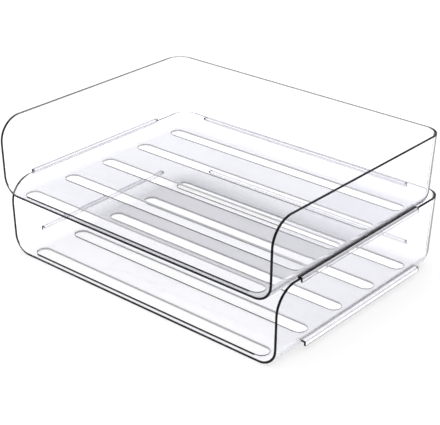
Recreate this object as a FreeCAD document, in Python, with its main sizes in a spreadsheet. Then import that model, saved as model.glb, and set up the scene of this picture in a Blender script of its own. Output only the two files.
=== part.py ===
import FreeCAD, Part
import math
import os

import Sketcher
from FreeCAD import Vector

# Two clear letter trays of one shape, stacked. Each tray is one moulding: a slotted floor that
# bends up into a left, a back and a right wall, an open front, and three hooks under the walls
# that stand over the rim of the tray below.
# Millimetres, +Z up, the open front faces -Y, the origin is the middle of the stack's footprint.

SIZES = (
    ("rim_width", 330.0, "left to right over the rim"),
    ("rim_depth", 248.0, "front edge to back over the rim"),
    ("tray_height", 75.0, "underside of the floor to the top of the rim"),
    ("wall", 2.2, "thickness of the floor and of the walls"),
    ("wall_lean", 1.5, "how far the foot of a wall stands in from its rim"),
    ("rim_corner_radius", 17.5, "back corners seen from above, at the rim"),
    ("foot_corner_radius", 22.0, "back corners seen from above, at the foot"),
    ("floor_bend_radius", 18.3, "outside of the bend from the floor into the walls"),
    ("front_corner_radius", 24.0, "upper front corner of each side wall"),
    ("edge_round", 0.6, "softened edges of the rim and of the open front"),
    ("slot_length", 290.0, "end to end of one floor slot"),
    ("slot_width", 15.0, "front to back of one floor slot"),
    ("slot_front_strip", 6.4, "floor left between the front edge and the first slot"),
    ("slot_back_strip", 5.2, "floor left between the last slot and the back wall's bend"),
    ("hook_height", 10.4, "underside of the floor up to the underside of a hook's ledge"),
    ("hook_ledge", 2.0, "thickness of a hook's ledge"),
    ("hook_leg", 2.0, "thickness of a hook's leg"),
    ("hook_drop", 5.0, "top of a hook's ledge down to the end of its leg"),
    ("hook_round", 1.6, "outer corner between a hook's ledge and its leg"),
    ("hook_clearance", 0.5, "between a hook's leg and the rim beside it"),
    ("side_hook_front_gap", 36.3, "front edge back to the start of a side hook"),
    ("side_hook_back_gap", 38.0, "back of the rim forward to the end of a side hook"),
    ("back_hook_end_gap", 38.0, "side of the rim in to each end of the back hook"),
    ("seat_gap", 0.15, "between a hook's ledge and the rim that carries it"),
    ("forward_shift", 7.2, "how much further forward the upper tray stands"),
    ("overrun", 5.0, "how far a cut runs past the face that it opens"),
)
SLOT_COUNT = 5
SAME_PLACE = 0.001
POINTS_PER_EDGE = 9

HALF_WIDTH = "sizes.rim_width / 2"
HALF_DEPTH = "sizes.rim_depth / 2"


def make_sheet(doc):
    """Write the driving dimensions into a sheet, one row each."""
    sheet = doc.addObject("Spreadsheet::Sheet", "sizes")
    for row, (alias, size, meaning) in enumerate(SIZES, start=1):
        sheet.set(f"A{row}", alias)
        sheet.set(f"B{row}", str(size))
        sheet.set(f"C{row}", meaning)
        sheet.setAlias(f"B{row}", alias)
    doc.recompute()
    return sheet


def number(owner, expression):
    """Return the plain number that an expression over the sheet gives."""
    result = owner.evalExpression(expression)
    return float(getattr(result, "Value", result))


def add_sketch(body, plane_role, name, offset="0"):
    """Attach a new sketch to one of the body's own origin planes, moved along its normal."""
    sketch = body.newObject("Sketcher::SketchObject", f"{body.Name}_{name}")
    plane = next(f for f in body.Origin.OriginFeatures if f.Role == plane_role)
    sketch.AttachmentSupport = [(plane, "")]
    sketch.MapMode = "FlatFace"
    sketch.setExpression("AttachmentOffset.Base.z", offset)
    return sketch


def pin_point(sketch, geometry, end, across, up):
    """Tie one end of a line or an arc to two expressions, measured from the sketch's origin."""
    for kind, expression in (("DistanceX", across), ("DistanceY", up)):
        place = number(sketch, expression)
        index = sketch.addConstraint(Sketcher.Constraint(kind, -1, 1, geometry, end, place))
        sketch.setExpression(f"Constraints[{index}]", expression)


def end_at(sketch, geometry, place):
    """Return which end of an arc, 1 or 2, lies at a place."""
    gaps = {end: sketch.getPoint(geometry, end).distanceToPoint(place) for end in (1, 2)}
    return min(gaps, key=gaps.get)


def draw_outline(sketch, corners):
    """Draw a closed outline with its edges along the sketch's axes.

    Each corner is (across, up, radius), three expressions; the radius of a sharp corner is None.
    """
    places = [Vector(number(sketch, x), number(sketch, y), 0) for x, y, _ in corners]
    runs = []
    for index, (across, up, radius) in enumerate(corners):
        came_from = (places[index - 1] - places[index]).normalize()
        goes_to = (places[(index + 1) % len(corners)] - places[index]).normalize()
        reach = radius or "0"
        runs.append([(f"{across} + ({reach}) * {round(way.x)}", f"{up} + ({reach}) * {round(way.y)}")
                     for way in (came_from, goes_to)])
    lines = []
    for index in range(len(corners)):
        start, end = runs[index][1], runs[(index + 1) % len(corners)][0]
        ends = [Vector(number(sketch, x), number(sketch, y), 0) for x, y in (start, end)]
        lines.append(sketch.addGeometry(Part.LineSegment(*ends)))
    for index, (_, _, radius) in enumerate(corners):
        line_in, line_out = lines[index - 1], lines[index]
        pin_point(sketch, line_out, 1, *runs[index][1])
        if radius is None:
            sketch.addConstraint(Sketcher.Constraint("Coincident", line_in, 2, line_out, 1))
            continue
        pin_point(sketch, line_in, 2, *runs[index][0])
        round_corner(sketch, line_in, line_out, places[index])


def round_corner(sketch, line_in, line_out, corner):
    """Join two lines that stop short of a square corner with the arc that touches both."""
    start = sketch.getPoint(line_in, 2)
    end = sketch.getPoint(line_out, 1)
    centre = start + end - corner
    radius = centre.distanceToPoint(start)
    middle = centre + (corner - centre).normalize() * radius
    arc = sketch.addGeometry(Part.Arc(start, middle, end))
    arc_start, arc_end = end_at(sketch, arc, start), end_at(sketch, arc, end)
    sketch.addConstraint(Sketcher.Constraint("Tangent", line_in, 2, arc, arc_start))
    sketch.addConstraint(Sketcher.Constraint("Coincident", arc, arc_end, line_out, 1))


def draw_slot(sketch, half_length, half_width, centre):
    """Draw a slot with round ends that runs left to right."""
    reach, rise, mid = (number(sketch, e) for e in (half_length, half_width, centre))
    straight = reach - rise
    lines = []
    for sign in (1, -1):
        side = mid - sign * rise
        line = Part.LineSegment(Vector(-sign * straight, side, 0), Vector(sign * straight, side, 0))
        lines.append(sketch.addGeometry(line))
    for sign, line_in, line_out in ((1, lines[0], lines[1]), (-1, lines[1], lines[0])):
        start, end = sketch.getPoint(line_in, 2), sketch.getPoint(line_out, 1)
        arc = sketch.addGeometry(Part.Arc(start, Vector(sign * reach, mid, 0), end))
        arc_start, arc_end = end_at(sketch, arc, start), end_at(sketch, arc, end)
        sketch.addConstraint(Sketcher.Constraint("Tangent", line_in, 2, arc, arc_start))
        sketch.addConstraint(Sketcher.Constraint("Coincident", arc, arc_end, line_out, 1))
        side = f"({half_length} - ({half_width})) * {sign}"
        pin_point(sketch, line_in, 2, side, f"{centre} - ({half_width}) * {sign}")
        pin_point(sketch, line_out, 1, side, f"{centre} + ({half_width}) * {sign}")


def plan_outline(body, name, height, inset, radius, front):
    """Sketch the tray's outline at a height, square in front and round at its back corners."""
    sketch = add_sketch(body, "XY_Plane", name, height)
    side = f"{HALF_WIDTH} - ({inset})"
    back = f"{HALF_DEPTH} - ({inset})"
    draw_outline(sketch, (
        (f"-({side})", f"-({front})", None),
        (side, f"-({front})", None),
        (side, back, radius),
        (f"-({side})", back, radius),
    ))
    return sketch


def add_loft(body, kind, name, rim, foot):
    """Add or take away the straight-sided shape from an outline at the rim down to one at the foot."""
    loft = body.newObject(f"PartDesign::{kind}", f"{body.Name}_{name}")
    loft.Profile = rim
    loft.Sections = [(foot, "")]
    loft.Ruled = True
    body.Document.recompute()
    return loft


def add_fillet(body, name, radius, chosen):
    """Round the edges of the body so far that the given test picks."""
    base = body.Tip
    names = [f"Edge{i}" for i, edge in enumerate(base.Shape.Edges, start=1) if chosen(edge)]
    fillet = body.newObject("PartDesign::Fillet", f"{body.Name}_{name}")
    fillet.Base = (base, names)
    fillet.setExpression("Radius", radius)
    body.Document.recompute()
    return fillet


def level_edge(body, height, front):
    """Return a test for edges that lie flat at a height and behind the front edge."""
    level = number(body, height)
    front_place = -number(body, front)

    def chosen(edge):
        box = edge.BoundBox
        flat = abs(box.ZMin - level) < SAME_PLACE and abs(box.ZMax - level) < SAME_PLACE
        return flat and box.YMax > front_place + SAME_PLACE

    return chosen


def front_top_edge(body):
    """Return a test for the short edges across the walls where the rim meets the front."""
    top = number(body, "sizes.tray_height")
    front_place = -number(body, HALF_DEPTH)

    def chosen(edge):
        box = edge.BoundBox
        at_top = abs(box.ZMin - top) < SAME_PLACE and abs(box.ZMax - top) < SAME_PLACE
        at_front = abs(box.YMin - front_place) < SAME_PLACE and abs(box.YMax - front_place) < SAME_PLACE
        return at_top and at_front

    return chosen


def lip_edge(body):
    """Return a test for the edges that run along the rim, the front corners and the open front."""
    top = number(body, "sizes.tray_height")
    front_place = -number(body, HALF_DEPTH)
    radius = number(body, "sizes.front_corner_radius")
    across_wall = number(body, "2 * sizes.wall")

    def on_lip(point):
        behind, below = point.y - front_place, top - point.z
        if max(behind, below) > radius:
            return min(behind, below) < SAME_PLACE
        return abs(math.hypot(radius - behind, radius - below) - radius) < SAME_PLACE

    def chosen(edge):
        return edge.Length > across_wall and all(map(on_lip, edge.discretize(Number=POINTS_PER_EDGE)))

    return chosen


def add_shell(body):
    """Make the floor and the three walls, hollow inside and open in front."""
    lean, wall = "sizes.wall_lean", "sizes.wall"
    outer_foot = plan_outline(body, "outer_foot", "0", lean, "sizes.foot_corner_radius", HALF_DEPTH)
    outer_rim = plan_outline(body, "outer_rim", "sizes.tray_height", "0",
                             "sizes.rim_corner_radius", HALF_DEPTH)
    add_loft(body, "AdditiveLoft", "outer_form", outer_rim, outer_foot)

    past_front = f"{HALF_DEPTH} + sizes.overrun"
    inner_foot = plan_outline(body, "inner_foot", wall, f"{lean} + {wall}",
                              f"sizes.foot_corner_radius - {wall}", past_front)
    inner_rim = plan_outline(body, "inner_rim", f"sizes.tray_height + {wall}", wall,
                             f"sizes.rim_corner_radius - {wall}", past_front)
    solid_volume = body.Tip.Shape.Volume
    add_loft(body, "SubtractiveLoft", "inner_form", inner_rim, inner_foot)
    require_cut(body, solid_volume)
    add_fillet(body, "inner_bend", f"sizes.floor_bend_radius - {wall}", level_edge(body, wall, HALF_DEPTH))
    add_fillet(body, "outer_bend", "sizes.floor_bend_radius", level_edge(body, "0", HALF_DEPTH))
    add_fillet(body, "front_corners", "sizes.front_corner_radius", front_top_edge(body))
    add_fillet(body, "soft_lip", "sizes.edge_round", lip_edge(body))


def add_slots(body):
    """Cut the row of slots through the floor, the first one just behind the front edge."""
    sketch = add_sketch(body, "XY_Plane", "slot")
    half_width = "sizes.slot_width / 2"
    first = f"sizes.slot_front_strip + {half_width} - {HALF_DEPTH}"
    draw_slot(sketch, "sizes.slot_length / 2", half_width, first)
    closed_volume = body.Tip.Shape.Volume
    slot = body.newObject("PartDesign::Pocket", f"{body.Name}_first_slot")
    slot.Profile = sketch
    slot.setExpression("Length", "sizes.wall + sizes.overrun")
    slot.Reversed = True
    body.Document.recompute()
    require_cut(body, closed_volume)

    flat_floor = "sizes.rim_depth - sizes.wall_lean - sizes.floor_bend_radius"
    row = body.newObject("PartDesign::LinearPattern", f"{body.Name}_slot_row")
    row.Originals = [slot]
    row.Direction = (sketch, ["V_Axis"])
    row.Occurrences = SLOT_COUNT
    row.setExpression("Length", f"{flat_floor} - sizes.slot_front_strip - sizes.slot_width"
                                " - sizes.slot_back_strip")
    body.Tip = row
    body.Document.recompute()


def draw_hook(sketch, half_rim):
    """Draw a hook's section: a ledge that leaves the bend outwards, and a leg down from its end."""
    bend, wall = "sizes.floor_bend_radius", "sizes.wall"
    under = "sizes.hook_height"
    top = f"{under} + sizes.hook_ledge"
    mid_wall = f"({bend} - {wall} / 2)^2 - ({bend} - {under})^2"
    root = f"{half_rim} - sizes.wall_lean - {bend} + sqrt({mid_wall})"
    leg_inside = f"{half_rim} + sizes.hook_clearance"
    leg_outside = f"{leg_inside} + sizes.hook_leg"
    leg_end = f"{top} - sizes.hook_drop"
    draw_outline(sketch, (
        (root, under, None),
        (leg_inside, under, None),
        (leg_inside, leg_end, None),
        (leg_outside, leg_end, None),
        (leg_outside, top, "sizes.hook_round"),
        (root, top, None),
    ))


def add_hooks(body):
    """Add the hooks along the left, the right and the back wall."""
    section = add_sketch(body, "XZ_Plane", "side_hook_section", f"{HALF_DEPTH} - sizes.side_hook_front_gap")
    draw_hook(section, HALF_WIDTH)
    right = body.newObject("PartDesign::Pad", f"{body.Name}_right_hook")
    right.Profile = section
    right.setExpression("Length", "sizes.rim_depth - sizes.side_hook_front_gap - sizes.side_hook_back_gap")
    right.Reversed = True
    body.Document.recompute()

    both = body.newObject("PartDesign::Mirrored", f"{body.Name}_side_hooks")
    both.Originals = [right]
    both.MirrorPlane = (next(f for f in body.Origin.OriginFeatures if f.Role == "YZ_Plane"), [""])
    body.Tip = both
    body.Document.recompute()

    section = add_sketch(body, "YZ_Plane", "back_hook_section")
    draw_hook(section, HALF_DEPTH)
    back = body.newObject("PartDesign::Pad", f"{body.Name}_back_hook")
    back.Profile = section
    back.setExpression("Length", "sizes.rim_width - 2 * sizes.back_hook_end_gap")
    back.Midplane = True
    body.Document.recompute()


def require_cut(body, volume_before):
    """Stop if the last feature took nothing away."""
    if body.Tip.Shape.Volume >= volume_before:
        raise RuntimeError(f"{body.Tip.Name} cuts nothing")


def make_tray(doc, label, forward, height):
    """Build one tray and stand it at its place in the stack."""
    body = doc.addObject("PartDesign::Body", label)
    body.Label = label
    add_shell(body)
    add_slots(body)
    add_hooks(body)
    hook_reach = "sizes.hook_clearance + sizes.hook_leg"
    body.setExpression("Placement.Base.y", f"(sizes.forward_shift - ({hook_reach})) / 2 - ({forward})")
    body.setExpression("Placement.Base.z", height)
    doc.recompute()
    return body


def check_document(doc, bodies):
    """Stop if any object failed or any tray is not one valid solid."""
    for item in doc.Objects:
        if "Invalid" in item.State or "Error" in item.State:
            raise RuntimeError(f"{item.Name} failed: {item.State}")
    for body in bodies:
        if body.Shape.isNull() or not body.Shape.isValid() or len(body.Shape.Solids) != 1:
            raise RuntimeError(f"{body.Label} is not one valid solid")


def main():
    """Build both trays and write a file for each."""
    doc = FreeCAD.newDocument("letter_tray_stack")
    make_sheet(doc)
    pitch = "sizes.tray_height - sizes.hook_height + sizes.seat_gap"
    trays = [
        make_tray(doc, "lower_tray", "0", "0"),
        make_tray(doc, "upper_tray", "sizes.forward_shift", pitch),
    ]
    check_document(doc, trays)
    os.makedirs("parts", exist_ok=True)
    for tray in trays:
        tray.Shape.exportStep(f"parts/{tray.Label}.step")
        box = tray.Shape.BoundBox
        print(f"{tray.Label}: {tray.Shape.Volume:.0f} mm3, y {box.YMin:.1f} to {box.YMax:.1f}, "
              f"z {box.ZMin:.1f} to {box.ZMax:.1f}, x {box.XMin:.1f} to {box.XMax:.1f}")


main()
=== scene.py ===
"""Two clear letter trays of one shape, stacked, in a plain white studio."""

import logging
import math
from collections.abc import Callable
from dataclasses import dataclass, field
from enum import Enum

import bmesh
import bpy
from bpy.types import Material, Node, NodeSocket, NodeTree, Object
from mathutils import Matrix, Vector


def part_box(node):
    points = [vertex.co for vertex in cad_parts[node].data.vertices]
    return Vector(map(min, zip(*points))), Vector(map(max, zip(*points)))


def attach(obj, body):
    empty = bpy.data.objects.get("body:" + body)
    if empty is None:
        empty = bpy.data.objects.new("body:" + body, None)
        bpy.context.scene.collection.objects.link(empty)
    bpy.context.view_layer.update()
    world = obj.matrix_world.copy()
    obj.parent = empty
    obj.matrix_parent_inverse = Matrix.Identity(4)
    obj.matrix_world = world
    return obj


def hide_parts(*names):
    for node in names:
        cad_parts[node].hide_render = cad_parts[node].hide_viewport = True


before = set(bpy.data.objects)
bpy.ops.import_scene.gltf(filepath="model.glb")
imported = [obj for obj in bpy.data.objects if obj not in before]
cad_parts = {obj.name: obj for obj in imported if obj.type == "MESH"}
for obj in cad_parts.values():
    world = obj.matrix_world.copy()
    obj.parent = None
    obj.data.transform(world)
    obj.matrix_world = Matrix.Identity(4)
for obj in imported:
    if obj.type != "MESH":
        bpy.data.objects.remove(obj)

LOG = logging.getLogger("letter_trays")
MM = 0.001
NEAR = 0.01 * MM
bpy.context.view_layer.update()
# Marks that the plastic reads: painted shade on edges, painted paleness on slot walls, painted shade on
# bends, and how far a face faces up, which sets the floor's painted-shade tint.
MARKS = {"edge_painted_shade": "CORNER", "edge_painted_pale": "CORNER", "bend_painted_shade": "FACE", "level": "FACE"}
WHITE = (1.0, 1.0, 1.0, 1.0)


class Face(Enum):
    """Which slot a tray's face is kept in while the tray is shaped."""

    WALL = 0
    EDGE = 1


class Part(Enum):
    """What an edit-mode selection is made of."""

    POINTS = "VERT"
    EDGES = "EDGE"
    FACES = "FACE"


@dataclass(frozen=True)
class Spot:
    """Where a point, an edge or a face of a mesh lies.

    Attributes:
        low: The lowest coordinates of its points.
        high: The highest coordinates of its points.
        normal: Its normal, or zero for an edge.
    """

    low: Vector
    high: Vector
    normal: Vector

    def flat_at(self, axis: int, place: float) -> bool:
        """Say whether all of it lies at one place along an axis."""
        return abs(self.low[axis] - place) < NEAR and abs(self.high[axis] - place) < NEAR


@dataclass(frozen=True)
class EdgeShade:
    """Painted shade on an edge: how much of an opaque layer covers the clear plastic there.

    Attributes:
        tone: How much painted shade, 0 for clear, 1 for opaque.
        pale: Painted light: how pale the layer is where it is opaque and seen from the air, 0 for black.
    """

    tone: float
    pale: float = 0.0


# No painted shade, and full painted shade, an opaque black edge.
NO_SHADE = EdgeShade(tone=0.0)
FULL_SHADE = EdgeShade(tone=1.0)
X, Y, Z = range(3)
Test = Callable[[Spot], bool]
Stops = tuple[tuple[float, float], ...]


def tone_at(stops: Stops, place: float) -> float:
    """Return the tone at a place in a row of stops.

    Args:
        stops: Places in rising order, each with its tone.
        place: Where the tone is wanted.

    Returns:
        The tone, blended between the stops on either side of the place.
    """
    for (start, first), (end, second) in zip(stops, stops[1:]):
        if place <= end:
            return first + (second - first) * max(0.0, place - start) / (end - start)
    return stops[-1][1]


class Bench:
    """The modelling operations that the pieces share."""

    @staticmethod
    def clear() -> None:
        """Deselect every object and leave edit mode."""
        if bpy.context.object and bpy.context.object.mode != "OBJECT":
            bpy.ops.object.mode_set(mode="OBJECT")
        bpy.ops.object.select_all(action="DESELECT")

    @staticmethod
    def choose_all(part: Part) -> None:
        """Select everything in edit mode, as points, edges or faces."""
        bpy.ops.mesh.select_mode(type=part.value)
        bpy.ops.mesh.select_all(action="SELECT")

    @staticmethod
    def choose(piece: Object, part: Part, test: Test) -> None:
        """Select in edit mode what passes a test, and nothing else.

        Args:
            piece: The object in edit mode.
            part: Whether points, edges or faces are chosen.
            test: Told where each one lies.
        """
        bpy.ops.mesh.select_mode(type=part.value)
        bpy.ops.mesh.select_all(action="DESELECT")
        mesh = bmesh.from_edit_mesh(piece.data)
        mesh.normal_update()
        every = {Part.POINTS: mesh.verts, Part.EDGES: mesh.edges, Part.FACES: mesh.faces}[part]
        chosen = []
        for item in every:
            points = [item.co] if part is Part.POINTS else [v.co for v in item.verts]
            low = Vector(min(p[axis] for p in points) for axis in (X, Y, Z))
            high = Vector(max(p[axis] for p in points) for axis in (X, Y, Z))
            normal = Vector() if part is Part.EDGES else item.normal
            if test(Spot(low, high, normal)):
                chosen.append(item)
        for item in chosen:
            item.select_set(True)
        mesh.select_flush_mode()
        bmesh.update_edit_mesh(piece.data)
        if not chosen:
            raise RuntimeError(f"{piece.name}: nothing to select")

    @staticmethod
    def finish_with(piece: Object, kind: str, name: str, **settings: object) -> None:
        """Add a modifier and apply it.

        Args:
            piece: The object that gets it.
            kind: The modifier's type.
            name: The modifier's name.
            **settings: Its settings.
        """
        Bench.clear()
        bpy.context.view_layer.objects.active = piece
        piece.select_set(True)
        modifier = piece.modifiers.new(name, kind)
        for key, value in settings.items():
            setattr(modifier, key, value)
        bpy.ops.object.modifier_apply(modifier=modifier.name)

    @staticmethod
    def rectangle(centre: Vector, width: float, depth: float) -> None:
        """Add a level rectangle to the mesh in edit mode, or as a new object in object mode.

        Args:
            centre: Its middle.
            width: Its length along X.
            depth: Its length along Y.
        """
        bpy.ops.mesh.primitive_plane_add(size=1.0, location=centre)
        if bpy.context.object.mode != "EDIT":
            bpy.ops.object.transform_apply(location=True, rotation=False, scale=False)
            bpy.ops.object.mode_set(mode="EDIT")
        bpy.ops.transform.resize(value=(width, depth, 1.0), center_override=centre)

    @staticmethod
    def drop(piece: Object) -> None:
        """Delete an object that only served to shape another.

        Args:
            piece: The object, which goes with its mesh.
        """
        mesh = piece.data
        bpy.data.objects.remove(piece)
        bpy.data.meshes.remove(mesh)


@dataclass
class LetterTray:
    """One clear tray: slotted floor, left, back and right wall, open front, and three hooks.

    Lengths are in metres and angles in degrees. A tone is an amount of painted shade, 0 for clear and 1 for
    opaque. The tray is modelled at its place in the stack.

    Attributes:
        node: The CAD node whose place the tray takes.
        covered: Whether another tray stands on it.
        plastic: What it is made of.
    """

    node: str
    covered: bool = False
    plastic: Material | None = None

    # The shell, and how its edges are softened.
    wall: float = 2.2 * MM
    wall_lean: float = 1.5 * MM
    rim_corner: float = 17.5 * MM
    foot_corner: float = 22.0 * MM
    floor_bend: float = 18.3 * MM
    front_corner: float = 24.0 * MM
    soft_rim: float = 1.05 * MM
    soft_slot: float = 0.4 * MM
    soft_edge: float = 0.2 * MM
    rim_fullness: float = 0.7
    sharp_angle: float = 40.0
    even_weight: int = 100

    # The floor's slots.
    slot_count: int = 5
    slot_half_length: float = 145.0 * MM
    slot_width: float = 15.0 * MM
    slot_front_strip: float = 6.4 * MM
    slot_back_strip: float = 5.2 * MM
    overrun: float = 5.0 * MM

    # The hooks: a ledge at hook_height above the tray's underside, and a leg down from its end, which
    # reaches hook_drop below the ledge's top. The gaps are left between the hooks and the tray's ends.
    hook_height: float = 10.4 * MM
    hook_ledge: float = 2.0 * MM
    hook_leg: float = 2.0 * MM
    hook_drop: float = 5.0 * MM
    hook_round: float = 0.8 * MM
    hook_clearance: float = 0.5 * MM
    side_hook_front_gap: float = 36.3 * MM
    side_hook_back_gap: float = 38.0 * MM
    back_hook_end_gap: float = 38.0 * MM

    # How many faces make each bend and rounding.
    bend_steps: int = 16
    corner_steps: int = 16
    rim_steps: int = 6
    edge_steps: int = 4
    hook_steps: int = 5

    # The rim's painted shade, by the share of the way round from the right wall over the back to the left
    # wall, darker on the right than on the back and left. An open tray's left rim gets more painted shade
    # towards the front.
    rim_shades: Stops = ((0.0, 0.97), (0.2, 1.0), (0.3, 1.0), (0.5, 0.4), (0.75, 0.4), (1.0, 0.45))
    covered_rim_shades: Stops = ((0.0, 0.97), (0.2, 1.0), (0.3, 0.8), (0.4, 0.1), (0.75, 0.0), (1.0, 0.0))
    left_rim_shade_gain: float = 0.35

    # The side walls' front edges have the lip's painted shade, and the floor's front edge a painted shade by
    # the share of the width from the left, of which its upper and lower roundings show front_brow_share.
    lip_shade: float = 1.0
    lip_power: int = 4
    front_edge_shades: Stops = (
        (0.0, 1.0), (0.055, 0.9), (0.085, 1.0), (0.1, 0.3), (0.2, 0.5),
        (0.3, 0.85), (0.5, 1.0), (0.75, 0.9), (0.88, 0.8), (0.91, 1.0),
    )
    front_brow_share: float = 0.25

    # The painted shadow strips along the slots' near edges, the painted paleness of the slots' walls, and the
    # painted shade on the hooks.
    slot_shadow_width: float = 1.7 * MM
    first_slot_shadow_width: float = 2.8 * MM
    slot_wall_painted_paleness: float = 1.0
    hook_end_shade: float = 0.97
    hook_line_shade: float = 0.06

    # How much of a face's normal makes it flat, end-on, steep or tilted, and the powers of the floor's
    # painted-shade tint and the bends' painted shade on it.
    flat: float = 0.9995
    end_on: float = 0.9
    steep: float = 0.6
    tilted: float = 0.2
    floor_shade_power: int = 4
    bend_shade_power: int = 2

    low: Vector = field(init=False)
    high: Vector = field(init=False)

    def __post_init__(self) -> None:
        """Take the tray's rim width, front, back and heights from its node in the frame."""
        low, high = (Vector(corner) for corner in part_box(self.node))
        reach = self.hook_clearance + self.hook_leg
        self.low = low + Vector((reach, 0.0, 0.0))
        self.high = high - Vector((reach, reach, 0.0))

    @property
    def half_width(self) -> float:
        """Return half the width over the rim."""
        return (self.high.x - self.low.x) / 2

    def bend_offset(self) -> float:
        """Work out how far the floor's bend reaches from the corner that it rounds.

        Returns:
            The distance, the same along the floor and along the wall.
        """
        height = self.high.z - self.low.z
        lean = math.atan2(self.wall_lean, height)
        return self.floor_bend * math.tan((math.pi / 2 - lean) / 2)

    def build(self) -> Object:
        """Model the tray.

        Returns:
            The finished object, at the origin with its place in its mesh.
        """
        tray = self.make_shell()
        self.soften(tray, self.soft_rim, self.rim_steps, self.rim_fullness)
        cutter = self.make_slot_cutter()
        Bench.finish_with(tray, "BOOLEAN", "slots", operation="DIFFERENCE", object=cutter, solver="EXACT")
        Bench.drop(cutter)
        self.soften(tray, self.soft_slot, self.edge_steps)
        for hook in self.make_hooks():
            Bench.finish_with(tray, "BOOLEAN", "hook", operation="UNION", object=hook, solver="EXACT")
            Bench.drop(hook)
        self.soften(tray, self.soft_edge, self.edge_steps)
        Bench.clear()
        bpy.context.view_layer.objects.active = tray
        tray.select_set(True)
        bpy.ops.object.shade_smooth()
        Bench.finish_with(tray, "WEIGHTED_NORMAL", "even normals", keep_sharp=True,
                          weight=self.even_weight)
        self.paint_edge_shades(tray)
        return tray

    def soften(self, tray: Object, width: float, steps: int, fullness: float = 0.5) -> None:
        """Round every edge that is still sharp, and mark the rounding as an edge.

        Args:
            tray: The tray.
            width: How far the rounding reaches from the edge.
            steps: How many faces make the rounding.
            fullness: 0.5 for a quarter circle, more for a squarer section.
        """
        Bench.finish_with(tray, "WELD", "weld", merge_threshold=NEAR)
        Bench.finish_with(
            tray, "BEVEL", "soft edges", width=width, segments=steps, profile=fullness,
            limit_method="ANGLE", angle_limit=math.radians(self.sharp_angle), harden_normals=False,
            use_clamp_overlap=False, miter_outer="MITER_ARC", material=Face.EDGE.value,
        )

    def paint_edge_shades(self, tray: Object) -> None:
        """Write to the mesh each corner's painted shade and paleness, each bend's painted-shade mask and how
        far each face faces up, which sets the floor's painted-shade tint, for the plastic to read.

        Args:
            tray: The finished shape, whose edge faces are still in a slot of their own.
        """
        mesh = tray.data
        for name, domain in MARKS.items():
            mesh.attributes.new(name, "FLOAT", domain)
        painted_shades = mesh.attributes["edge_painted_shade"].data
        painted_pales = mesh.attributes["edge_painted_pale"].data
        bend_shades = mesh.attributes["bend_painted_shade"].data
        floor_shade_levels = mesh.attributes["level"].data
        for face in mesh.polygons:
            # Edge faces and the slots' shadow strips get painted shade; the strip on the right hook's top is
            # fully painted shade.
            edge = face.material_index == Face.EDGE.value or self.in_slot_shadow(face.center, face.normal)
            hook_shaded = self.in_hook_shade_strip(face.center, face.normal)
            for corner in face.loop_indices:
                place = mesh.vertices[mesh.loops[corner].vertex_index].co
                edge_shade = FULL_SHADE if hook_shaded else self.painted_shade_at(place, face.normal, edge)
                painted_shades[corner].value, painted_pales[corner].value = edge_shade.tone, edge_shade.pale
            # How far a face faces up: level faces get the floor's darker painted-shade tint.
            floor_shade_levels[face.index].value = face.normal.z ** self.floor_shade_power
            # Painted shade mask for bends, stronger where they are steep.
            if not edge and max(abs(part) for part in face.normal) < self.flat:
                bend_shades[face.index].value = (1.0 - abs(face.normal.z)) ** self.bend_shade_power
            face.material_index = Face.WALL.value
        mesh.materials.pop(index=Face.EDGE.value)

    def painted_shade_at(self, place: Vector, normal: Vector, edge: bool) -> EdgeShade:
        """Return the painted shade at a face's corner.

        Args:
            place: Where the corner is.
            normal: The face's normal.
            edge: Whether the face belongs to a cut, a rim or a rounded edge.

        Returns:
            The painted shade there.
        """
        beside = abs(place.x) > self.half_width - self.floor_bend / 2
        behind = place.y > self.high.y - self.floor_bend / 2
        if (beside or behind) and place.y > self.low.y + self.wall:
            under = self.low.z + self.hook_height
            top = under + self.hook_ledge
            if top - self.hook_drop - NEAR < place.z < top + self.soft_edge + NEAR:
                return EdgeShade(self.hook_shade(place, normal, edge))
        if not edge:
            return NO_SHADE
        across = (place.x + self.half_width) / (2 * self.half_width)
        # Rim and front lips: painted shade, darker on the right than on the back and left, and full towards
        # the front.
        if place.z > self.high.z - self.front_corner:
            back = max(place.y - (self.high.y - self.rim_corner), 0.0)
            side = max(abs(place.x) - (self.half_width - self.rim_corner), 0.0)
            turn = math.atan2(back, math.copysign(side, place.x)) if back or side else math.pi / 2
            along = min(1.0, (place.y - self.low.y) / self.front_corner) ** self.lip_power
            rim = tone_at(self.covered_rim_shades if self.covered else self.rim_shades, turn / math.pi)
            if place.x < 0.0 and not self.covered:
                nearness = (self.high.y - place.y) / (self.high.y - self.low.y)
                rim += self.left_rim_shade_gain * nearness
            return EdgeShade(self.lip_shade + (rim - self.lip_shade) * along)
        # The floor's front edge and the walls' front edges below the rim: painted shade.
        if place.y < self.low.y + self.wall:
            if place.z > self.low.z + self.floor_bend:
                return EdgeShade(self.lip_shade)
            share = self.front_brow_share if abs(normal.z) > self.steep else 1.0
            return EdgeShade(tone_at(self.front_edge_shades, across) * share)
        # The slots' painted shadow strips on the floor's top, along the slots' straight part.
        if normal.z > self.flat:
            return FULL_SHADE if abs(place.x) < self.slot_straight + NEAR else NO_SHADE
        # Slot walls: painted light where seen from the air and painted shade from inside; the rounding at a
        # slot's near top edge is fully painted shade.
        brow = normal.z > self.tilted and normal.y > self.tilted
        return FULL_SHADE if brow else EdgeShade(1.0, pale=self.slot_wall_painted_paleness)

    @property
    def slot_straight(self) -> float:
        """Return half the length of a slot's straight edges."""
        return self.slot_half_length - self.slot_width / 2

    def slot_rows(self) -> list[float]:
        """Work out where the slots lie.

        Returns:
            The places of their middles along Y, from the front to the back.
        """
        first = self.low.y + self.slot_front_strip + self.slot_width / 2
        last = self.high.y - self.wall_lean - self.floor_bend - self.slot_back_strip - self.slot_width / 2
        return [first + (last - first) * index / (self.slot_count - 1) for index in range(self.slot_count)]

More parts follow.
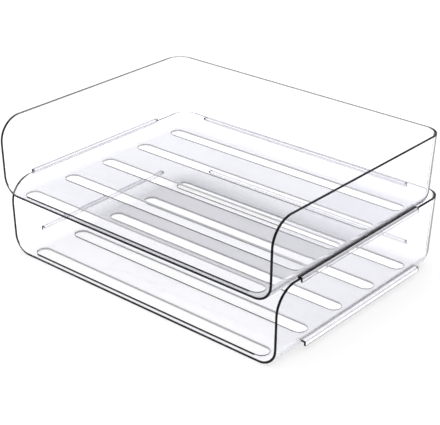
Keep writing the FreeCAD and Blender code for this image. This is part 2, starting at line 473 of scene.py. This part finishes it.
    def slot_shadow_strips(self) -> list[tuple[float, float]]:
        """Work out where the painted shadow strip of the floor's top along each slot's near edge lies.

        Returns:
            The start and the end of each strip along Y, from the front to the back.
        """
        edges = [row - self.slot_width / 2 for row in self.slot_rows()]
        widths = [self.first_slot_shadow_width] + [self.slot_shadow_width] * (self.slot_count - 1)
        return [(edge - width, edge) for edge, width in zip(edges, widths)]

    def in_slot_shadow(self, place: Vector, normal: Vector) -> bool:
        """Say whether a level face at a place belongs to a slot's painted shadow strip."""
        return normal.z > self.flat and any(start < place.y < end for start, end in self.slot_shadow_strips())

    def in_hook_shade_strip(self, place: Vector, normal: Vector) -> bool:
        """Say whether a face is the painted shade strip on the right hook's top, over the rim that carries
        it.

        Args:
            place: The middle of the face.
            normal: Its normal.

        Returns:
            Whether it is, which it never is on a covered tray.
        """
        over_rim = self.half_width - self.wall < place.x < self.half_width
        level = abs(place.z - self.low.z - self.hook_height - self.hook_ledge) < NEAR
        return not self.covered and over_rim and level and normal.z > self.flat

    def hook_shade(self, place: Vector, normal: Vector, edge: bool) -> float:
        """Return the painted shade of a face's corner at the height of the hooks.

        Args:
            place: Where the corner is.
            normal: The face's normal.
            edge: Whether the face belongs to a rounded edge.

        Returns:
            The painted shade there.
        """
        sideways = abs(place.x) - self.half_width > place.y - self.high.y
        outward = math.copysign(normal.x, place.x * normal.x) if sideways else normal.y
        along = normal.y if sideways else normal.x
        # The hooks' ends are painted dark, and the right hook's outward roundings get a light painted shade.
        if abs(along) > self.end_on:
            return self.hook_end_shade
        if edge and sideways and place.x > 0.0 and outward > self.tilted:
            return self.hook_line_shade
        return 0.0

    def make_shell(self) -> Object:
        """Model the floor and the three walls, and level the rim.

        Returns:
            The tray without slots and hooks, its edges still sharp.
        """
        tray = self.make_skin()
        self.score_floor(tray)
        Bench.finish_with(tray, "SOLIDIFY", "wall", thickness=self.wall, offset=-1.0, use_even_offset=True,
                          use_quality_normals=True, material_offset_rim=Face.EDGE.value)
        bpy.ops.object.mode_set(mode="EDIT")
        Bench.choose(tray, Part.POINTS, lambda s: s.low.z > self.high.z - self.soft_edge)
        bpy.ops.transform.resize(value=(1.0, 1.0, 0.0), center_override=(0.0, 0.0, self.high.z))
        Bench.clear()
        return tray

    def make_skin(self) -> Object:
        """Model the outside of the floor and the three walls: two outlines, bridged, closed below and bent.

        Returns:
            The skin, without thickness and in edit mode.
        """
        low, high, front = self.low, self.high, self.low.y
        middle = Vector((0.0, (low.y + high.y) / 2, 0.0))
        Bench.clear()
        foot_shift = Vector((0.0, -self.wall_lean / 2, low.z))
        depth = high.y - front
        Bench.rectangle(middle + foot_shift, 2 * (self.half_width - self.wall_lean), depth - self.wall_lean)
        tray = bpy.context.object
        tray.name = self.node + "_moulding"
        tray.data.name = tray.name
        self.fit_slots(tray)
        Bench.choose(tray, Part.POINTS, lambda s: s.low.y > middle.y)
        bpy.ops.mesh.bevel(affect="VERTICES", offset=self.foot_corner, segments=self.corner_steps)
        Bench.rectangle(middle + Vector((0.0, 0.0, high.z)), 2 * self.half_width, depth)
        Bench.choose(tray, Part.POINTS, lambda s: s.low.y > middle.y and s.flat_at(Z, high.z))
        bpy.ops.mesh.bevel(affect="VERTICES", offset=self.rim_corner, segments=self.corner_steps)
        Bench.choose_all(Part.FACES)
        bpy.ops.mesh.delete(type="ONLY_FACE")
        Bench.choose_all(Part.EDGES)
        bpy.ops.mesh.bridge_edge_loops()
        Bench.choose(tray, Part.EDGES, lambda s: s.flat_at(Z, low.z))
        bpy.ops.mesh.edge_face_add()
        bpy.ops.mesh.select_all(action="SELECT")
        bpy.ops.mesh.normals_make_consistent(inside=False)
        Bench.choose(tray, Part.FACES, lambda s: s.flat_at(Y, front))
        bpy.ops.mesh.delete(type="FACE")
        Bench.choose(tray, Part.EDGES, lambda s: s.flat_at(Z, low.z) and not s.flat_at(Y, front))
        bpy.ops.mesh.bevel(affect="EDGES", offset=self.bend_offset(), segments=self.bend_steps,
                           clamp_overlap=False)
        Bench.choose(tray, Part.POINTS, lambda s: s.flat_at(Z, high.z) and s.flat_at(Y, front))
        bpy.ops.mesh.bevel(affect="VERTICES", offset=self.front_corner, segments=self.corner_steps)
        return tray

    def score_floor(self, tray: Object) -> None:
        """Cut the flat floor where a painted shade begins or ends, so that its points can hold it.

        Args:
            tray: The tray's skin, in edit mode; it is left in object mode.
        """
        places = [(2 * across - 1) * self.half_width for across, _ in self.front_edge_shades]
        inner = [place for place in places if abs(place) < self.slot_straight]
        for place in (-self.slot_straight, *inner, self.slot_straight):
            self.cut_floor(tray, Vector((place, 0.0, 0.0)), X)
        for start, _ in self.slot_shadow_strips():
            self.cut_floor(tray, Vector((0.0, start, 0.0)), Y)
        bpy.ops.mesh.select_all(action="SELECT")
        bpy.ops.mesh.remove_doubles(threshold=NEAR)
        Bench.clear()

    def cut_floor(self, tray: Object, place: Vector, axis: int) -> None:
        """Cut the floor's flat part in two along a line.

        Args:
            tray: The tray's skin, in edit mode.
            place: A point on the line.
            axis: The axis that the line crosses.
        """
        normal = tuple(float(axis == other) for other in (X, Y, Z))
        Bench.choose(tray, Part.FACES, lambda s: s.flat_at(Z, self.low.z))
        bpy.ops.mesh.bisect(plane_co=place, plane_no=normal)

    def fit_slots(self, piece: Object) -> None:
        """Give a piece one slot for its walls and one for its edges.

        Args:
            piece: The piece, whose slots so far are dropped.
        """
        piece.data.materials.clear()
        for _ in Face:
            piece.data.materials.append(self.plastic)

    def make_slot_cutter(self) -> Object:
        """Model the round-ended blocks that cut the floor's slots.

        Returns:
            One object of all the blocks, which reach past the floor's two sides.
        """
        Bench.clear()
        for row in self.slot_rows():
            Bench.rectangle(Vector((0.0, row, self.low.z - self.overrun)), 2 * self.slot_half_length,
                            self.slot_width)
        cutter = bpy.context.object
        Bench.choose_all(Part.POINTS)
        bpy.ops.mesh.bevel(affect="VERTICES", offset=self.slot_width / 2, segments=self.corner_steps // 2)
        bpy.ops.mesh.select_all(action="SELECT")
        bpy.ops.mesh.remove_doubles(threshold=NEAR)
        Bench.choose_all(Part.FACES)
        bpy.ops.mesh.extrude_region_move(
            TRANSFORM_OT_translate={"value": (0.0, 0.0, 2 * self.overrun + self.wall)})
        bpy.ops.mesh.select_all(action="SELECT")
        bpy.ops.mesh.normals_make_consistent(inside=False)
        Bench.clear()
        self.fit_slots(cutter)
        for face in cutter.data.polygons:
            face.material_index = Face.EDGE.value
        return cutter

    def make_hooks(self) -> list[Object]:
        """Model the right, the left and the back hook.

        Returns:
            The three hooks, each an object at its place and still apart from the tray.
        """
        side_start = self.low.y + self.side_hook_front_gap
        side_end = self.high.y - self.side_hook_back_gap
        half_side = (side_end - side_start) / 2
        mid_side = Vector((0.0, (side_start + side_end) / 2, 0.0))
        hooks = []
        for name, turn, half_length, centre, rim in (
            ("right_hook", 0.0, half_side, mid_side, self.half_width),
            ("left_hook", math.pi, half_side, mid_side, self.half_width),
            ("back_hook", math.pi / 2, self.half_width - self.back_hook_end_gap, Vector(), self.high.y),
        ):
            hooks.append(self.make_hook(name, turn, half_length, centre, rim))
        return hooks

    def make_hook(self, name: str, turn: float, half_length: float, centre: Vector, rim: float) -> Object:
        """Model one hook: a ledge that leaves the bend outwards, and a leg down from its end.

        Args:
            name: The object's name.
            turn: The angle about Z from the right wall's outward direction to this one's.
            half_length: Half the hook's length along the wall.
            centre: The middle of the hook along the wall.
            rim: How far out the rim lies, along the hook's outward direction.

        Returns:
            The hook, still apart from the tray.
        """
        under = self.low.z + self.hook_height
        top = under + self.hook_ledge
        out = rim + self.hook_clearance + self.hook_leg
        bend_centre = rim - self.wall_lean - self.bend_offset()
        drop = self.floor_bend - self.hook_height - self.hook_ledge / 2
        root = bend_centre + math.sqrt((self.floor_bend - self.wall / 2) ** 2 - drop ** 2)
        Bench.clear()
        bpy.ops.mesh.primitive_cube_add(size=1.0, location=((root + out) / 2, 0.0, (under + top) / 2))
        hook = bpy.context.object
        hook.name = f"{self.node}_{name}"
        self.fit_slots(hook)
        bpy.ops.object.transform_apply(location=True, rotation=False, scale=False)
        bpy.ops.object.mode_set(mode="EDIT")
        bpy.ops.transform.resize(value=(out - root, 2 * half_length, self.hook_ledge),
                                 center_override=((root + out) / 2, 0.0, (under + top) / 2))
        for place in (rim - self.wall, rim, out - self.hook_leg):
            bpy.ops.mesh.select_all(action="SELECT")
            bpy.ops.mesh.bisect(plane_co=(place, 0.0, 0.0), plane_no=(1.0, 0.0, 0.0))
        Bench.choose(hook, Part.FACES, lambda s: s.flat_at(Z, under) and s.low.x > out - self.hook_leg - NEAR)
        bpy.ops.mesh.extrude_region_move(
            TRANSFORM_OT_translate={"value": (0.0, 0.0, self.hook_ledge - self.hook_drop)})
        Bench.choose(hook, Part.EDGES, lambda s: s.flat_at(Z, top) and s.flat_at(X, out))
        bpy.ops.mesh.bevel(affect="EDGES", offset=self.hook_round, segments=self.hook_steps,
                           material=Face.EDGE.value)
        bpy.ops.mesh.select_all(action="SELECT")
        bpy.ops.transform.rotate(value=-turn, orient_axis="Z", center_override=(0.0, 0.0, 0.0))
        bpy.ops.transform.translate(value=centre)
        bpy.ops.mesh.normals_make_consistent(inside=False)
        Bench.clear()
        return hook


@dataclass(frozen=True)
class Value:
    """A shader value that Python's operators can work on."""

    socket: NodeSocket

    def _with(self, operation: str, *others: "Value | float") -> "Value":
        """Add a Math node that works on this value and others.

        Args:
            operation: The node's operation.
            *others: What it works on besides this value, in order.

        Returns:
            The node's result.
        """
        tree = self.socket.id_data
        node = tree.nodes.new("ShaderNodeMath")
        node.operation = operation
        for index, item in enumerate((self, *others)):
            if isinstance(item, Value):
                tree.links.new(item.socket, node.inputs[index])
            else:
                node.inputs[index].default_value = item
        return Value(node.outputs[0])

    def __add__(self, other: "Value | float") -> "Value":
        """Add."""
        return self._with("ADD", other)

    def __mul__(self, other: "Value | float") -> "Value":
        """Multiply."""
        return self._with("MULTIPLY", other)

    def most(self, other: "Value | float") -> "Value":
        """Take the greater."""
        return self._with("MAXIMUM", other)

    def least(self, other: "Value | float") -> "Value":
        """Take the lesser."""
        return self._with("MINIMUM", other)

    __radd__ = __add__
    __rmul__ = __mul__

    def __rsub__(self, other: float) -> "Value":
        """Subtract this value from a number."""
        return (self * -1.0) + other


class Graph:
    """A node tree, built one node at a time."""

    def __init__(self, tree: NodeTree) -> None:
        """Start from an empty tree."""
        self.tree = tree
        tree.nodes.clear()

    def add(self, kind: str, settings: dict[str, object] | None = None, **inputs: object) -> Node:
        """Add a node.

        Args:
            kind: The node's type, without the leading ShaderNode.
            settings: Its own settings, set before its sockets.
            **inputs: What each socket gets, a number, a colour or another node's output; an
                underscore stands for a space in the socket's name.

        Returns:
            The new node.
        """
        node = self.tree.nodes.new("ShaderNode" + kind)
        for key, value in (settings or {}).items():
            setattr(node, key, value)
        for key, value in inputs.items():
            name = key.replace("_", " ")
            socket = node.inputs[int(name)] if name.isdigit() else node.inputs[name]
            source = value.socket if isinstance(value, Value) else value
            if isinstance(source, NodeSocket):
                self.tree.links.new(source, socket)
            else:
                socket.default_value = source
        return node

    def join(self, source: NodeSocket, target: NodeSocket) -> None:
        """Link two sockets."""
        self.tree.links.new(source, target)


@dataclass(frozen=True)
class ClearPlastic:
    """Crystal-clear polished plastic, with painted shade where it is cut and where its bends are seen at a
    low angle, and painted shade in the tint of its level faces.
    """

    name: str = "clear_plastic"
    wall_tint: tuple[float, float, float, float] = (0.88, 0.878, 0.90, 1.0)
    # Level faces get a darker tint: painted shade of the floor under the trays, seen through the plates.
    floor_shade_tint: tuple[float, float, float, float] = (0.73, 0.73, 0.75, 1.0)
    refraction: float = 1.49
    roughness: float = 0.015
    roughness_drift: float = 0.02
    tint_drift: float = 0.03
    tone_drift: float = 0.08
    drift_scale: float = 45.0
    drift_detail: float = 3.0
    wave_scale: float = 30.0
    wave_detail: float = 1.0
    wave_height: float = 0.02 * MM
    depth_tint: tuple[float, float, float, float] = (0.60, 0.60, 0.72, 1.0)
    depth_density: float = 20.0
    # The opaque painted-shade layer on the edges, and its pale colour where slot walls get painted light.
    dark: tuple[float, float, float, float] = (0.006, 0.006, 0.008, 1.0)
    dark_roughness: float = 0.35
    pale: tuple[float, float, float, float] = (0.9, 0.9, 0.92, 1.0)
    dark_gloss: float = 0.12
    # Painted shade on bends seen at a low angle.
    grazing_blend: float = 0.5
    grazing_from: float = 0.55
    grazing_to: float = 0.72
    grazing_shade: float = 0.85

    def make(self) -> Material:
        """Make the material.

        Returns:
            One material for all of a tray, which reads the painted shade, paleness and tint marks on the
            mesh.
        """
        material = bpy.data.materials.new(self.name)
        material.use_nodes = True
        graph = Graph(material.node_tree)
        place = graph.add("TexCoord").outputs["Object"]
        cloud = graph.add("TexNoise", None, Vector=place, Scale=self.drift_scale, Detail=self.drift_detail)
        drift = Value(cloud.outputs["Fac"])
        wave = graph.add("TexNoise", None, Vector=place, Scale=self.wave_scale, Detail=self.wave_detail)
        bump = graph.add("Bump", None, Height=wave.outputs["Fac"], Distance=self.wave_height)
        # Level faces blend to the darker floor tint, painted shade of the floor under the trays.
        level = self.mark(graph, "level") * (1.0 - self.tint_drift * drift)
        tint = graph.add("Mix", {"data_type": "RGBA"},
                         **{"0": level, "6": self.wall_tint, "7": self.floor_shade_tint})
        clear = graph.add("BsdfPrincipled", None, Base_Color=tint.outputs[2],
                          Roughness=self.roughness + self.roughness_drift * drift,
                          IOR=self.refraction, Transmission_Weight=1.0, Normal=bump.outputs["Normal"])
        # The painted-shade layer: black, or pale painted light where a slot wall is seen from the air.
        outside = 1.0 - Value(graph.add("NewGeometry").outputs["Backfacing"])
        shade = graph.add("Mix", {"data_type": "RGBA"},
                          **{"0": self.mark(graph, "edge_painted_pale") * outside, "6": self.dark, "7": self.pale})
        dark = graph.add("BsdfPrincipled", None, Base_Color=shade.outputs[2], Roughness=self.dark_roughness,
                         IOR=self.refraction, Specular_IOR_Level=self.dark_gloss)
        # Painted shade on bends seen at a low angle and on the marked edges mixes the clear plastic into that
        # layer.
        facing = graph.add("LayerWeight", None, Blend=self.grazing_blend).outputs["Facing"]
        grazing = graph.add("MapRange", {"interpolation_type": "SMOOTHSTEP"}, Value=facing,
                            From_Min=self.grazing_from, From_Max=self.grazing_to, To_Max=self.grazing_shade)
        bend = self.mark(graph, "bend_painted_shade") * Value(grazing.outputs["Result"])
        tone = self.mark(graph, "edge_painted_shade").most(bend) * (1.0 - self.tone_drift * drift)
        surface = graph.add("MixShader", None, **{"0": tone})
        graph.join(clear.outputs["BSDF"], surface.inputs[1])
        graph.join(dark.outputs["BSDF"], surface.inputs[2])
        depth = graph.add("VolumeAbsorption", None, Color=self.depth_tint, Density=self.depth_density)
        output = graph.add("OutputMaterial")
        graph.join(surface.outputs["Shader"], output.inputs["Surface"])
        graph.join(depth.outputs["Volume"], output.inputs["Volume"])
        return material

    @staticmethod
    def mark(graph: Graph, name: str) -> Value:
        """Return what the tray's mesh holds under a name."""
        return Value(graph.add("Attribute", {"attribute_name": name}).outputs["Fac"])


@dataclass(frozen=True)
class Studio:
    """The plain white studio: floor, lamp, surroundings and camera.

    The camera's turn and the fade's ends are in degrees, the fade's as heights above the horizon.
    """

    camera_place: tuple[float, float, float] = (698.1 * MM, -800.7 * MM, 571.0 * MM)
    camera_turn: tuple[float, float, float] = (63.017, 0.181, 41.050)
    lens: float = 101.1
    sensor: float = 36.0
    shift: tuple[float, float] = (-0.0031, 0.0386)
    floor_radius: float = 1.7
    floor_sides: int = 96
    floor_gap: float = 0.1 * MM
    even_light: float = 0.5
    fade_from: float = 8.0
    fade_to: float = 20.0
    overhead: float = 0.85
    overhead_gloss: float = 0.9
    lamp_size: float = 3.2
    lamp_height: float = 2.2
    lamp_power: float = 36.0
    floor_tone: float = 0.55
    floor_glow: float = 0.60

    def build(self) -> None:
        """Set up everything that isn't part of the trays."""
        self.make_camera()
        self.make_floor()
        self.make_world()
        self.make_lamp()
        bpy.context.scene.view_settings.view_transform = "Standard"

    def make_camera(self) -> None:
        """Stand the camera where the photograph was taken from."""
        data = bpy.data.cameras.new("camera")
        data.sensor_width = self.sensor
        data.lens = self.lens
        data.shift_x, data.shift_y = self.shift
        camera = bpy.data.objects.new("camera", data)
        camera.location = self.camera_place
        camera.rotation_euler = [math.radians(angle) for angle in self.camera_turn]
        bpy.context.scene.collection.objects.link(camera)
        bpy.context.scene.camera = camera

    def make_floor(self) -> None:
        """Lay a round pale floor that keeps the trays' shadow."""
        Bench.clear()
        bpy.ops.mesh.primitive_circle_add(vertices=self.floor_sides, radius=self.floor_radius,
                                          fill_type="NGON", location=(0.0, 0.0, -self.floor_gap))
        floor = bpy.context.object
        floor.name = "studio_floor"
        material = bpy.data.materials.new("studio_floor")
        material.use_nodes = True
        graph = Graph(material.node_tree)
        paper = graph.add("BsdfDiffuse", None, Color=(*[self.floor_tone] * 3, 1.0))
        rays = graph.add("LightPath")
        seen = Value(rays.outputs["Is Camera Ray"]) + Value(rays.outputs["Is Glossy Ray"])
        seen = seen + Value(rays.outputs["Is Transmission Ray"])
        glow = graph.add("Emission", None, Color=WHITE, Strength=seen * self.floor_glow)
        both = graph.add("AddShader")
        graph.join(paper.outputs[0], both.inputs[0])
        graph.join(glow.outputs[0], both.inputs[1])
        output = graph.add("OutputMaterial")
        graph.join(both.outputs[0], output.inputs["Surface"])
        floor.data.materials.append(material)

    def make_world(self) -> None:
        """Surround the trays with even light, white where it is seen and dim overhead in the gloss."""
        world = bpy.data.worlds.new("studio")
        world.use_nodes = True
        bpy.context.scene.world = world
        graph = Graph(world.node_tree)
        even = graph.add("Background", None, Color=WHITE, Strength=self.even_light)
        white = graph.add("Background", None, Color=WHITE, Strength=1.0)
        place = graph.add("TexCoord")
        parts = graph.add("SeparateXYZ", None, Vector=place.outputs["Generated"])
        fade = graph.add("MapRange", {"interpolation_type": "SMOOTHSTEP"}, Value=parts.outputs["Z"],
                         From_Min=math.sin(math.radians(self.fade_from)),
                         From_Max=math.sin(math.radians(self.fade_to)))
        rays = graph.add("LightPath")
        above = Value(fade.outputs["Result"])
        bounced = Value(rays.outputs["Diffuse Depth"]).least(1.0)
        through = Value(rays.outputs["Is Transmission Ray"]) * (1.0 - bounced)
        less = (1.0 - self.overhead_gloss) + (self.overhead_gloss - self.overhead) * through
        gloss = graph.add("Background", None, Color=WHITE, Strength=1.0 - above * less)
        shiny = Value(rays.outputs["Is Glossy Ray"]) + through
        inner = graph.add("MixShader", None, **{"0": shiny})
        graph.join(even.outputs[0], inner.inputs[1])
        graph.join(gloss.outputs[0], inner.inputs[2])
        mix = graph.add("MixShader", None, **{"0": rays.outputs["Is Camera Ray"]})
        graph.join(inner.outputs[0], mix.inputs[1])
        graph.join(white.outputs[0], mix.inputs[2])
        output = graph.add("OutputWorld")
        graph.join(mix.outputs[0], output.inputs["Surface"])

    def make_lamp(self) -> None:
        """Hang one large soft lamp."""
        data = bpy.data.lights.new("soft_lamp", "AREA")
        data.shape = "SQUARE"
        data.size = self.lamp_size
        data.energy = self.lamp_power
        lamp = bpy.data.objects.new("soft_lamp", data)
        lamp.location = (0.0, 0.0, self.lamp_height)
        bpy.context.scene.collection.objects.link(lamp)


def main() -> None:
    """Build the trays and the studio."""
    logging.basicConfig(level=logging.INFO, format="%(name)s: %(message)s")
    plastic = ClearPlastic().make()
    for node, covered in (("lower_tray", True), ("upper_tray", False)):
        tray = LetterTray(node, covered=covered, plastic=plastic).build()
        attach(tray, node)
        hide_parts(node)
        LOG.info("%s: %d faces", tray.name, len(tray.data.polygons))
    Studio().build()


if __name__ == "__main__":
    main()
